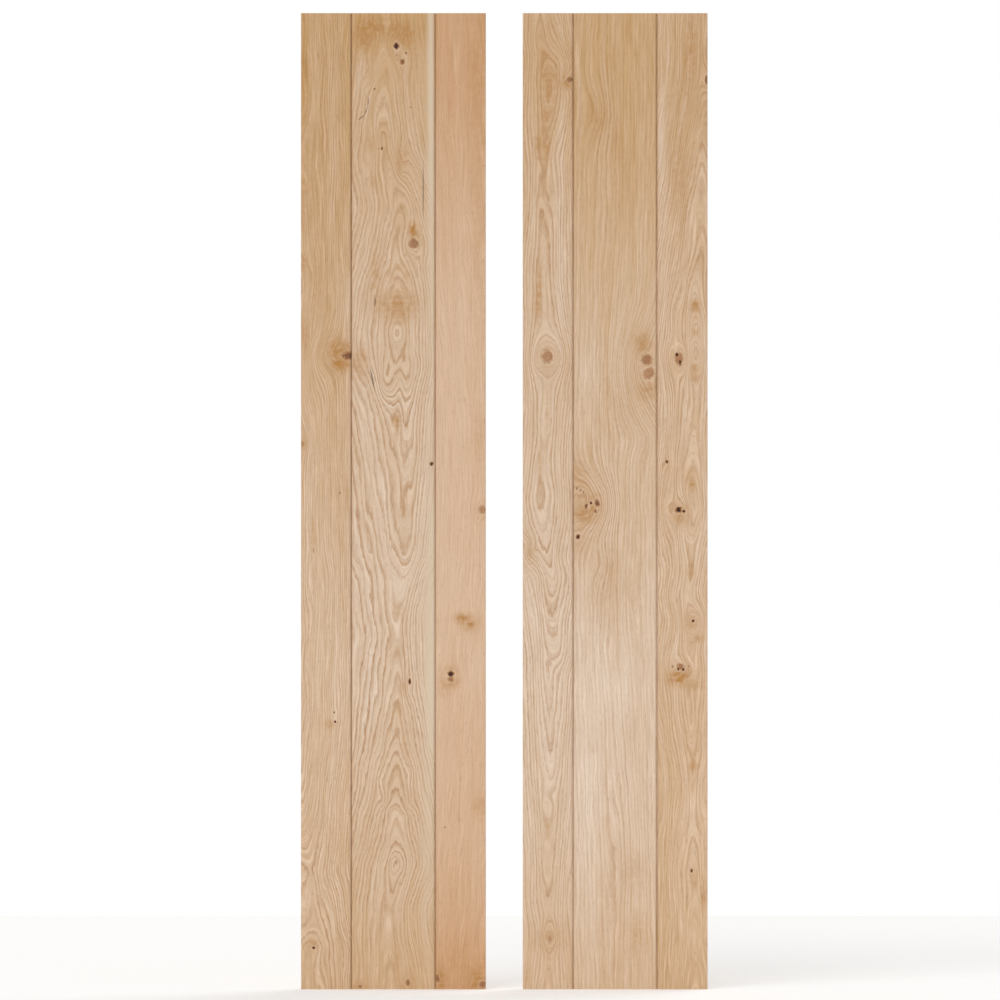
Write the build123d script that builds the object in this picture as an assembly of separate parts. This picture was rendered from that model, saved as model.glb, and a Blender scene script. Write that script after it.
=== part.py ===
"""Bi-fold door: two ledged oak leaves, each of three tongue-and-groove boards.

Every leaf is three full-height boards, V-jointed on the front, held together by three
ledges across the back. Screws through the ledges are hidden under oak pellets.

Frame: +X runs along the door from the hanging edge, +Y from the front to the back, +Z up.
The origin is on the hanging edge, in the middle of the boards' thickness, at the foot.
"""

import os

from build123d import *

# Leaves
LEAF_HEIGHT = 1981.0
LEAF_WIDTH = 375.0
LEAF_GAP = 75.0  # clear space between the two leaves as they stand side by side

# Boards
BOARD_THICKNESS = 20.0
CENTRE_BOARD_COVER = 170.0  # from joint line to joint line, the outer boards share the rest
OUTER_ARRIS = 1.5  # round on the long edges at the two sides of a leaf

# V joint between two boards
V_DEPTH = 3.0  # 45 degree bevel on each board's front arris
JOINT_GAP = 1.0  # shrinkage gap between the two shoulders
TONGUE_LENGTH = 8.0
TONGUE_THICKNESS = 6.0
TONGUE_LEAD = 1.0  # bevel that leads the tongue into its groove
GROOVE_SIDE_CLEARANCE = 0.2
GROOVE_END_CLEARANCE = 1.0

# Ledges across the back
LEDGE_WIDTH = 140.0
LEDGE_THICKNESS = 20.0
LEDGE_INSET = 15.0  # from each side of the leaf
LEDGE_BEVEL = 6.0  # 45 degree bevel all round the back face
TOP_LEDGE_DROP = 150.0  # from the head of the leaf to the top ledge
BOTTOM_LEDGE_RISE = 200.0  # from the foot of the leaf to the bottom ledge
MIDDLE_LEDGE_HEIGHT = 1000.0  # from the foot of the leaf to the ledge's centre line

# Pellets over the ledge screws: a slanting pair in each board
PELLET_DIAMETER = 12.0
PELLET_LENGTH = 9.0
PELLET_CLEARANCE = 0.05  # all round, for the glue
PELLET_ROW_SPACING = 80.0  # between the upper and the lower row
PELLET_EDGE_DISTANCE = 38.0  # from a board's joint line or outer edge to the pellet's centre

LEAVES = ("left_leaf", "right_leaf")
FRONT_Y = -BOARD_THICKNESS / 2
BACK_Y = BOARD_THICKNESS / 2
SAME_PLACE = 1e-6  # corners nearer than this are one corner


def board_covers():
    """The outer, centre and outer board of a leaf as (name, from, to), joint line to joint line."""
    outer_cover = (LEAF_WIDTH - CENTRE_BOARD_COVER) / 2
    joints = (0.0, outer_cover, outer_cover + CENTRE_BOARD_COVER, LEAF_WIDTH)
    names = ("left_board", "centre_board", "right_board")
    return list(zip(names, joints[:-1], joints[1:]))


def ledge_centres():
    """Height of each ledge's centre line above the foot of the leaf."""
    return {
        "bottom_ledge": BOTTOM_LEDGE_RISE + LEDGE_WIDTH / 2,
        "middle_ledge": MIDDLE_LEDGE_HEIGHT,
        "top_ledge": LEAF_HEIGHT - TOP_LEDGE_DROP - LEDGE_WIDTH / 2,
    }


def corners_at(sketch, x, y_values):
    """The sketch's corners that lie at x and at one of the given y values."""
    on_line = [v for v in sketch.vertices() if abs(v.X - x) < SAME_PLACE]
    return [v for v in on_line if min(abs(v.Y - y) for y in y_values) < SAME_PLACE]


def tongue(shoulder):
    """Section of the tongue that stands out of a board's right shoulder."""
    size = (TONGUE_LENGTH, TONGUE_THICKNESS)
    section = Pos(shoulder, 0) * Rectangle(*size, align=(Align.MIN, Align.CENTER))
    tip = corners_at(section, shoulder + TONGUE_LENGTH, (-TONGUE_THICKNESS / 2, TONGUE_THICKNESS / 2))
    return chamfer(tip, TONGUE_LEAD)


def groove(shoulder):
    """Section of the groove cut into a board's left shoulder, which takes the next board's tongue."""
    depth = TONGUE_LENGTH - JOINT_GAP + GROOVE_END_CLEARANCE
    height = TONGUE_THICKNESS + 2 * GROOVE_SIDE_CLEARANCE
    return Pos(shoulder, 0) * Rectangle(depth, height, align=(Align.MIN, Align.CENTER))


def board_section(start, end):
    """Cross-section of the board whose cover runs from start to end across the leaf."""
    joined_left = start > 0
    joined_right = end < LEAF_WIDTH
    left = start + JOINT_GAP / 2 if joined_left else start
    right = end - JOINT_GAP / 2 if joined_right else end
    section = Pos(left, 0) * Rectangle(right - left, BOARD_THICKNESS, align=(Align.MIN, Align.CENTER))
    for x, joined in ((left, joined_left), (right, joined_right)):
        if joined:
            section = chamfer(corners_at(section, x, (FRONT_Y,)), V_DEPTH)
        else:
            section = fillet(corners_at(section, x, (FRONT_Y, BACK_Y)), OUTER_ARRIS)
    if joined_left:
        section -= groove(left)
    if joined_right:
        section += tongue(right)
    return section


def board(start, end):
    """One full-height board, its section carried up from the foot."""
    return extrude(board_section(start, end), LEAF_HEIGHT)


def pellet_places():
    """Where the pellets sit on a ledge, as (x across the leaf, height from the ledge's centre line)."""
    places = []
    for _, start, end in board_covers():
        places.append((start + PELLET_EDGE_DISTANCE, PELLET_ROW_SPACING / 2))
        places.append((end - PELLET_EDGE_DISTANCE, -PELLET_ROW_SPACING / 2))
    return places


def ledge_back(height):
    """The ledge's back face at its centre line: local X across the leaf, local Z out of the back."""
    return Plane(
        origin=(0, BACK_Y + LEDGE_THICKNESS, height),
        x_dir=(1, 0, 0),
        z_dir=(0, 1, 0),
    )


def round_pegs(height, diameter):
    """Round pegs of the pellets' length at every pellet place, let into the ledge's back face."""
    peg = Cylinder(diameter / 2, PELLET_LENGTH, align=(Align.CENTER, Align.CENTER, Align.MAX))
    back = ledge_back(height)
    return [back * Pos(x, -rise) * peg for x, rise in pellet_places()]


def ledge(height):
    """One ledge: a bevelled bar flat against the boards, with a pocket for each pellet."""
    length = LEAF_WIDTH - 2 * LEDGE_INSET
    bar = Pos(LEAF_WIDTH / 2, BACK_Y, height) * Box(
        length, LEDGE_THICKNESS, LEDGE_WIDTH, align=(Align.CENTER, Align.MIN, Align.CENTER)
    )
    bar = chamfer(bar.faces().sort_by(Axis.Y)[-1].edges(), LEDGE_BEVEL)
    for pocket in round_pegs(height, PELLET_DIAMETER + 2 * PELLET_CLEARANCE):
        bar -= pocket
    return bar


def pellets(height):
    """The pellets of one ledge, flush with its back face."""
    return Compound(children=round_pegs(height, PELLET_DIAMETER))


def leaf(name):
    """Every piece of one leaf by node name, in the leaf's own place at the hanging edge."""
    pieces = {f"{name}_{board_name}": board(start, end) for board_name, start, end in board_covers()}
    for ledge_name, height in ledge_centres().items():
        pieces[f"{name}_{ledge_name}"] = ledge(height)
        pieces[f"{name}_{ledge_name}_pellets"] = pellets(height)
    return pieces


def main():
    os.makedirs("parts", exist_ok=True)
    for index, name in enumerate(LEAVES):
        place = Pos(index * (LEAF_WIDTH + LEAF_GAP), 0, 0)
        for node, shape in leaf(name).items():
            export_step(place * shape, f"parts/{node}.step")
            print(node)


main()
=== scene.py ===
# %% [markdown]
# # A bi-fold door in figured oak
# Two ledged leaves stand side by side, seen square from the front. Each leaf is three tongue-and-groove
# boards with V joints, and three bevelled ledges hold it together at the back. Nearly all that the eye
# meets is the wood itself: growth rings that rise in arches, knots, pale sapwood, a few drying cracks.
# model.glb brings every piece at its real size, so this script only dresses it.

# %% Load the imported door
from collections import namedtuple

import bpy
import numpy as np
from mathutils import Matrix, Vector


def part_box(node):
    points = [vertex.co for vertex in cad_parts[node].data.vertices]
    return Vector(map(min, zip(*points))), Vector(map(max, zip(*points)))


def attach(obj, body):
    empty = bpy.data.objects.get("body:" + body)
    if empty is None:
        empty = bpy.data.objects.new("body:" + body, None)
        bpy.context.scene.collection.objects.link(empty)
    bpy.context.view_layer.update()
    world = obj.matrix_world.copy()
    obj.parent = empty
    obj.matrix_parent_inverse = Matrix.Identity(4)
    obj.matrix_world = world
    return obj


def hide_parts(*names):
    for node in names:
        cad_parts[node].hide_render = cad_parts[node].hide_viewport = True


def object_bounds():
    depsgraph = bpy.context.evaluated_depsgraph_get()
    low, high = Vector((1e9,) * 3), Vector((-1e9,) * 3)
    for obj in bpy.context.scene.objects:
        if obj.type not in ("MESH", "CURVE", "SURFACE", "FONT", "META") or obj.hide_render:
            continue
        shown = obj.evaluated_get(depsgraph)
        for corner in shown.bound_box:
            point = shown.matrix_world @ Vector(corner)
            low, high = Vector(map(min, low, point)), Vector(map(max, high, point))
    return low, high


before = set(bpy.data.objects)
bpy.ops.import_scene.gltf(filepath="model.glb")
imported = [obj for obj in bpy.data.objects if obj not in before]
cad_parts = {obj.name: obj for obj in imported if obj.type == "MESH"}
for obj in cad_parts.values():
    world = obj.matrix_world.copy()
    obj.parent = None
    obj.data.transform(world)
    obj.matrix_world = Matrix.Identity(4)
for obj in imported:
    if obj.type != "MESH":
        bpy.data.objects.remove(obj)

MM = 0.001
cad_low, cad_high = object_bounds()
print("pieces in the frame:", len(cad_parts))

# %% [markdown]
# ## Camera
# The door is pictured like a drawing: dead square and from far off, so that no side of a leaf shows.
# An orthographic camera would do that too. A long lens far away is chosen because the other views then
# turn round the door with the same lens. The picture is 1000 pixels square, and the pixel rows of the
# head and the foot of a leaf give the scale.

# %% Camera
PICTURE_SIDE = 1000
HEAD_ROW, FOOT_ROW = 13.1, 989.35
HANGING_EDGE_COLUMN = 301.0
CAMERA_DISTANCE = 20.0
SENSOR_WIDTH = 36.0

metres_per_pixel = (cad_high.z - cad_low.z) / (FOOT_ROW - HEAD_ROW)
centre_x = cad_low.x + (PICTURE_SIDE / 2 - HANGING_EDGE_COLUMN) * metres_per_pixel
centre_z = cad_low.z + (FOOT_ROW - PICTURE_SIDE / 2) * metres_per_pixel

camera_data = bpy.data.cameras.new("camera")
camera_data.sensor_width = SENSOR_WIDTH
camera_data.lens = SENSOR_WIDTH * CAMERA_DISTANCE / (PICTURE_SIDE * metres_per_pixel)
camera_data.clip_end = 3 * CAMERA_DISTANCE
camera = bpy.data.objects.new("camera", camera_data)
camera.location = (centre_x, cad_low.y - CAMERA_DISTANCE, centre_z)
camera.rotation_euler = (np.pi / 2, 0, 0)
bpy.context.collection.objects.link(camera)
bpy.context.scene.camera = camera
bpy.context.scene.view_settings.view_transform = "Standard"
print("millimetres in a pixel:", round(metres_per_pixel / MM, 3))

# %% [markdown]
# ## One way to add a node, one way to write a colour
# Every finish below is a small tree of shader nodes. One helper adds a node, sets its properties and
# joins its inputs. A Math node adds up its inputs unless another operation is named. Colours are written
# as sRGB hex, as a colour picker shows them, and turned into the linear light that the shader works in.

# %% Node and colour helpers
def add(tree, kind, inputs=None, output=0, **settings):
    """Adds one shader node with its settings, and gives one of its outputs. Each input is a socket to
    link or a plain value."""
    node = tree.nodes.new("ShaderNode" + kind)
    for name, value in settings.items():
        setattr(node, name, value)
    for place, value in (inputs or {}).items():
        if isinstance(value, bpy.types.NodeSocket):
            tree.links.new(value, node.inputs[place])
        else:
            node.inputs[place].default_value = value
    return node.outputs[output] if len(node.outputs) else None


def linear(hex_colour):
    """sRGB hex to linear RGBA: each channel over 255, then the sRGB curve undone."""
    channel = np.array([int(hex_colour[i:i + 2], 16) for i in (1, 3, 5)]) / 255
    light = np.where(channel <= 0.04045, channel / 12.92, ((channel + 0.055) / 1.055) ** 2.4)
    return (*light.tolist(), 1.0)


def new_material(name):
    """A new material, with its node tree emptied."""
    material = bpy.data.materials.new(name)
    material.use_nodes = True
    material.node_tree.nodes.clear()
    return material, material.node_tree


print("raw oak in linear light:", np.round(linear("#d7b99d"), 3))

# %% [markdown]
# ## Studio: a pale floor and a white room
# The floor is a plain painted sheet that takes the door's shadow. The world is white to the camera and to
# reflections, and gives a lower, even light to everything else. That keeps the background white without
# putting more light on the wood.

# %% Floor and world
FLOOR_SIDE = 7.0
FLOOR_HEX = "#f2f1ef"
FLOOR_LIFT = 0.22
ROOM_LIGHT = 0.48

middle = (cad_low + cad_high) / 2
corners = np.array([(-1, -1, 0), (1, -1, 0), (1, 1, 0), (-1, 1, 0)]) * FLOOR_SIDE / 2
floor_mesh = bpy.data.meshes.new("floor")
floor_mesh.from_pydata((corners + (middle.x, middle.y, cad_low.z)).tolist(), [], [(0, 1, 2, 3)])
floor = bpy.data.objects.new("floor", floor_mesh)
bpy.context.collection.objects.link(floor)

floor_material, tree = new_material("painted_floor")
paint = add(tree, "BsdfDiffuse", {"Color": linear(FLOOR_HEX)})
seen = add(tree, "LightPath", output="Is Camera Ray")
lift = add(tree, "Math", {0: seen, 1: FLOOR_LIFT}, operation="MULTIPLY")
glow = add(tree, "Emission", {"Strength": lift})
lifted = add(tree, "AddShader", {0: paint, 1: glow})
add(tree, "OutputMaterial", {"Surface": lifted})
floor_mesh.materials.append(floor_material)

world = bpy.data.worlds.new("white_room")
world.use_nodes = True
bpy.context.scene.world = world
tree = world.node_tree
tree.nodes.clear()
seen = add(tree, "LightPath", output="Is Camera Ray")
mirrored = add(tree, "LightPath", output="Is Glossy Ray")
through = add(tree, "LightPath", output="Is Transmission Ray")
either = add(tree, "Math", {0: seen, 1: mirrored}, operation="MAXIMUM")
any_sight = add(tree, "Math", {0: either, 1: through}, operation="MAXIMUM")
strength = add(tree, "MapRange", {"Value": any_sight, "To Min": ROOM_LIGHT, "To Max": 1.0})
white = add(tree, "Background", {"Color": (1, 1, 1, 1), "Strength": strength})
add(tree, "OutputWorld", {"Surface": white})
print("floor side in metres:", FLOOR_SIDE)

# %% [markdown]
# ## Lamps
# A broad lamp high on the front left tells the two slopes of each V joint apart: the slope that faces it
# is bright and the other one dark. A second one behind shows the ledges. Both are suns with a wide disc,
# because a sun lights the foot and the head of a tall door alike, and a wide disc keeps its shadows soft.

# %% Lamps
Lamp = namedtuple("Lamp", "name towards strength disc")
LAMPS = (
    Lamp("front_lamp", (-0.38, -0.84, 0.40), 1.50, 50),
    Lamp("back_lamp", (0.45, 0.75, 0.50), 1.20, 50),
)


def hang_lamp(lamp):
    """A sun whose light comes from the lamp's direction, with a disc of so many degrees."""
    data = bpy.data.lights.new(lamp.name, "SUN")
    data.energy = lamp.strength
    data.angle = np.radians(lamp.disc)
    lamp_object = bpy.data.objects.new(lamp.name, data)
    x, y, z = np.array(lamp.towards) / np.linalg.norm(lamp.towards)
    lamp_object.rotation_euler = (np.arccos(z), 0, np.arctan2(y, x) + np.pi / 2)
    bpy.context.collection.objects.link(lamp_object)


for lamp in LAMPS:
    hang_lamp(lamp)
print("lamps:", ", ".join(lamp.name for lamp in LAMPS))

# %% [markdown]
# ## How a board is cut
# A board is a bar of one section: a V bevel and a groove or a tongue along a joined edge, a rounded arris
# along an outer one. The section is cut into cells, columns across by rows through the thickness. The
# edges of the filled cells that have no filled neighbour are its outline. Carried up the door, the outline
# gives the faces, and the cells close the two ends, where the end grain shows.

# %% Edges of a board
V_BEVEL = 3.0
ARRIS = 1.5
ARRIS_STEPS = 4


def edge_steps(joined):
    """Distances of the first columns from a long edge: down the bevel, or round the arris by equal angles."""
    if joined:
        return np.array([0, V_BEVEL / 2, V_BEVEL])
    return ARRIS * (1 - np.cos(np.linspace(0, np.pi / 2, ARRIS_STEPS)))


def inset(distance, joined):
    """How far a face drops back near a long edge: along a 45 degree bevel, or round a quarter circle."""
    if joined:
        return np.clip(V_BEVEL - distance, 0, None)
    inside = np.clip(ARRIS - distance, 0, None)
    return ARRIS - np.sqrt(ARRIS**2 - inside**2)


print("columns down a bevel:", len(edge_steps(True)), "and round an arris:", len(edge_steps(False)))

# %% Section of a board
TONGUE = 8.0
TONGUE_HALF = 3.0
TONGUE_LEAD = 1.0
GROOVE_DEPTH = 8.0
GROOVE_HALF = 3.2
FRONT, BACK = -10.0, 10.0
ROW_DEPTH = 6.0
COLUMN_PITCH = 2.8
SAMPLE_WIDTH = 110.0
# Places closer together than this count as one.
SAME_PLACE = 0.001

Section = namedtuple("Section", "points cells outline")


def section_points(left, right, groove, tongue):
    """Points (x, y) of a section by column and row: rows run from the front face to the back face, two of
    them along the sides of the groove or tongue. Past the shoulder, all rows close on the tongue."""
    first = np.append(edge_steps(True), GROOVE_DEPTH) if groove else edge_steps(False)
    last = edge_steps(tongue)
    shoulder = right - TONGUE if tongue else right
    span = (left + first[-1], shoulder - last[-1])
    between = np.linspace(*span, int((span[1] - span[0]) / COLUMN_PITCH) + 1)[1:-1]
    x = np.concatenate([left + first, between, shoulder - last[::-1]])
    front = FRONT + inset(x - left, groove) + inset(shoulder - x, tongue)
    back = BACK - inset(x - left, False) * (not groove) - inset(shoulder - x, False) * (not tongue)
    half = np.interp(x, (left, shoulder), (GROOVE_HALF, TONGUE_HALF))
    y = np.stack([front, 0 * x - ROW_DEPTH, -half, 0 * x, half, 0 * x + ROW_DEPTH, back], axis=1)
    if tongue:
        out = np.array([TONGUE / 2, TONGUE - TONGUE_LEAD, TONGUE])
        thin = TONGUE_HALF - np.clip(out - TONGUE + TONGUE_LEAD, 0, None)
        x = np.append(x, shoulder + out)
        y = np.vstack([y, thin[:, None] * np.array([-1, -1, -1, 0, 1, 1, 1])])
    return np.stack([np.broadcast_to(x[:, None], y.shape), y], axis=2)


def board_section(left, right, groove, tongue):
    """A section's points, its filled cells as four corners each, and its outline as pairs of points.
    Corners and pairs run anticlockwise, seen from the head of the door."""
    points = section_points(left, right, groove, tongue)
    columns, rows = points.shape[:2]
    x = points[:-1, 0, 0]
    filled = np.ones((columns - 1, rows - 1), bool)
    tongue_rows = np.array([False, False, True, True, False, False])
    if groove:
        filled[np.ix_(x < left + GROOVE_DEPTH - SAME_PLACE, tongue_rows)] = False
    if tongue:
        filled[np.ix_(x > right - TONGUE - SAME_PLACE, ~tongue_rows)] = False
    index = np.arange(columns * rows).reshape(columns, rows)
    corner = np.stack([index[:-1, :-1], index[1:, :-1], index[1:, 1:], index[:-1, 1:]], axis=2)
    around = np.pad(filled, 1)
    neighbours = (around[1:-1, :-2], around[2:, 1:-1], around[1:-1, 2:], around[:-2, 1:-1])
    sides = [corner[filled & ~near][:, [i, (i + 1) % 4]] for i, near in enumerate(neighbours)]
    return Section(points.reshape(-1, 2), corner[filled], np.concatenate(sides))


sample = board_section(0, SAMPLE_WIDTH, groove=False, tongue=True)
print("cells in an outer board's section:", len(sample.cells), "outline pairs:", len(sample.outline))

# %% [markdown]
# ## Figure: growth rings met by a saw
# A tree grows in rings round its heart. A board cut near the heart meets each ring twice, and because a
# trunk leans and swells the lines close over in arches and eyes. So the figure is a count of rings at
# every point of the board. The count is the distance from a wandering heart line, over the ring spacing,
# plus the rings that the heart line itself gains or loses with height, plus a swelling round each knot.
# A painted texture would be quicker but stops at the edges. A count goes on through the board's
# thickness, over its bevels and into its end grain.

# %% Facts of a board
TURN = 2 * np.pi
LEAF_HEIGHT = (cad_high.z - cad_low.z) / MM
CURVE_STEP = 2.0
CURVE_ROUNDING = 46.0
CRACK = -1

# The heart line lies a depth behind the front. Its place across, the skew of its rings and its own count
# go by height, and so do contrast and tone. Spots are soft clouds: swellings add rings, brown stains,
# lively strengthens the rings, pale lightens and sap whitens. A mark's dark is how dead a knot is, or CRACK.
Board = namedtuple(
    "Board",
    "finish seed spacing depth waver heart skew rings contrast tone swellings marks brown lively pale sap",
    defaults=((), (), ()),
)
Spot = namedtuple("Spot", "x z wide tall strength")
Mark = namedtuple("Mark", "x z wide tall dark tilt", defaults=(0,))


def curve(height, points, rounding=CURVE_ROUNDING):
    """Value at each height, on straight runs between (height, value) points with their corners rounded
    by a running mean."""
    at, value = np.array(points, dtype=float).T
    grid = np.arange(-rounding, LEAF_HEIGHT + rounding, CURVE_STEP)
    window = np.hanning(int(rounding / CURVE_STEP) | 1)
    runs = np.pad(np.interp(grid, at, value), len(window) // 2, mode="edge")
    return np.interp(height, grid, np.convolve(runs, window / window.sum(), mode="valid"))


def ripple(across, along, width, length, seed, waves=16):
    """Smooth noise about 1 high: a sum of plane waves of seeded phase, near width across and length along."""
    rng = np.random.default_rng(seed)
    turns_across = rng.normal(0, 1 / width, waves)
    turns_along = rng.normal(0, 1 / length, waves)
    phase = rng.uniform(0, TURN, waves)
    total = np.zeros_like(across)
    for a, b, c in zip(turns_across, turns_along, phase):
        total += np.sin(TURN * (a * across + b * along) + c)
    return total * np.sqrt(2 / waves)


def clouds(spots, x, z):
    """Sum of bells, each exp of minus the squared distance in units of its half width and half height."""
    total = np.zeros_like(x)
    for spot in spots:
        total += spot.strength * np.exp(-(((x - spot.x) / spot.wide) ** 2) - ((z - spot.z) / spot.tall) ** 2)
    return total


print("leaf height in millimetres:", round(LEAF_HEIGHT))

# %% Ring count
GRAIN_PUSH = 0.7
PUSH_WIDE, PUSH_TALL = 3.2, 3.5
SLOW_RIPPLE = (55, 260)
QUICK_RIPPLE = (22, 130)
QUICK_SHARE = 0.16


def parted(board, x, z):
    """Where each point would lie across the board if no knot stood in the way: drawn towards a knot by a
    bell round it, so that lines counted from there part round the knot."""
    moved = x.copy()
    for mark in board.marks:
        wide, tall = PUSH_WIDE * mark.wide, PUSH_TALL * mark.tall
        bell = np.exp(-(((x - mark.x) / wide) ** 2) - ((z - mark.z) / tall) ** 2)
        moved -= GRAIN_PUSH * (x - mark.x) * bell * (mark.dark != CRACK)
    return moved


def ring_count(board, x, y, z):
    """Rings between the heart line and a point: distance from the line, stretched to one side by the skew,
    over the spacing, plus the line's own count at that height, plus swellings and slow ripples."""
    skew = curve(z, board.skew)
    upright = np.sqrt(1 - skew**2)
    aside = parted(board, x, z) - curve(z, board.heart) - skew * board.depth / upright
    radius = np.hypot(aside, board.depth + y - FRONT) + skew * aside
    rings = (radius - board.depth * upright) / board.spacing + curve(z, board.rings)
    rings += clouds(board.swellings, x, z)
    rings += board.waver * ripple(x, z, *SLOW_RIPPLE, board.seed)
    return rings + QUICK_SHARE * board.waver * ripple(x, z, *QUICK_RIPPLE, board.seed + 1)


print("ripples in millimetres, across and along:", SLOW_RIPPLE, QUICK_RIPPLE)

# %% [markdown]
# ## The left leaf's boards
# Every board of a real door comes from another tree, so each gets its own facts, in millimetres from the
# hanging edge and the foot. The first is straight-grained and tan, with a low knot under nested arches.
# The centre one is cut through the heart: tall points hang from above and others rise from below, and a
# strip of cream sapwood runs up its right edge. The third is pink and nearly plain.

# %% Left board of the left leaf
LEFT_LEAF_LEFT = Board(
    finish="tan_oak_board", seed=11, spacing=4.6, depth=40, waver=0.4,
    heart=((0, 20), (190, 18), (240, 14), (480, -45), (1981, -50)),
    skew=((0, 0),),
    rings=(
        (0, -1.4), (84, -1), (129, 1.2), (160, 2), (208, 2.9), (240, 3.6), (480, -11.5), (700, -13.5),
        (1250, -11.5), (1981, -10.5),
    ),
    contrast=((0, 0.8), (300, 0.75), (450, 0.6), (1981, 0.6)),
    tone=((0, 0.5), (180, 0.72), (600, 0.86), (950, 0.78), (1250, 0.48), (1600, 0.32), (1981, 0.12)),
    swellings=(
        Spot(-5, 1700, 40, 95, 4.0), Spot(22, 1250, 24, 60, 2.2), Spot(4, 1476, 12, 18, 2.0),
        Spot(0, 1110, 20, 40, -2.0), Spot(60, 1320, 30, 50, 1.5),
    ),
    marks=(
        Mark(25.8, 84, 4.2, 3.8, 1.1), Mark(98, 1286, 17, 9, 0.84), Mark(78.6, 1007, 2.2, 3.0, 0.6),
        Mark(67, 562, 2.2, 2.2, 1.0), Mark(69.5, 543, 2.8, 2.8, 1.0), Mark(3, 1107, 4, 6, 0.35),
        Mark(25.5, 890, 1.5, 6, 0.45),
    ),
    brown=(
        Spot(92, 1286, 22, 20, 1.0), Spot(70, 1300, 20, 30, 0.5), Spot(78, 1264, 16, 14, 0.5),
        Spot(2, 1850, 14, 200, 0.3), Spot(4, 1600, 16, 60, 0.4), Spot(5, 1476, 9, 18, 0.45),
        Spot(4, 1107, 8, 14, 0.5), Spot(58, 538, 14, 9, 0.45), Spot(6, 1325, 12, 40, 0.35),
        Spot(24, 925, 5, 36, 0.35), Spot(24, 92, 12, 16, 0.3), Spot(30, 1420, 12, 60, 0.25),
    ),
    pale=(Spot(80, 620, 22, 200, 0.16), Spot(90, 1400, 14, 60, 0.2), Spot(66, 1800, 16, 220, 0.2)),
)
print("knots in the first board:", len(LEFT_LEAF_LEFT.marks))

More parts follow.
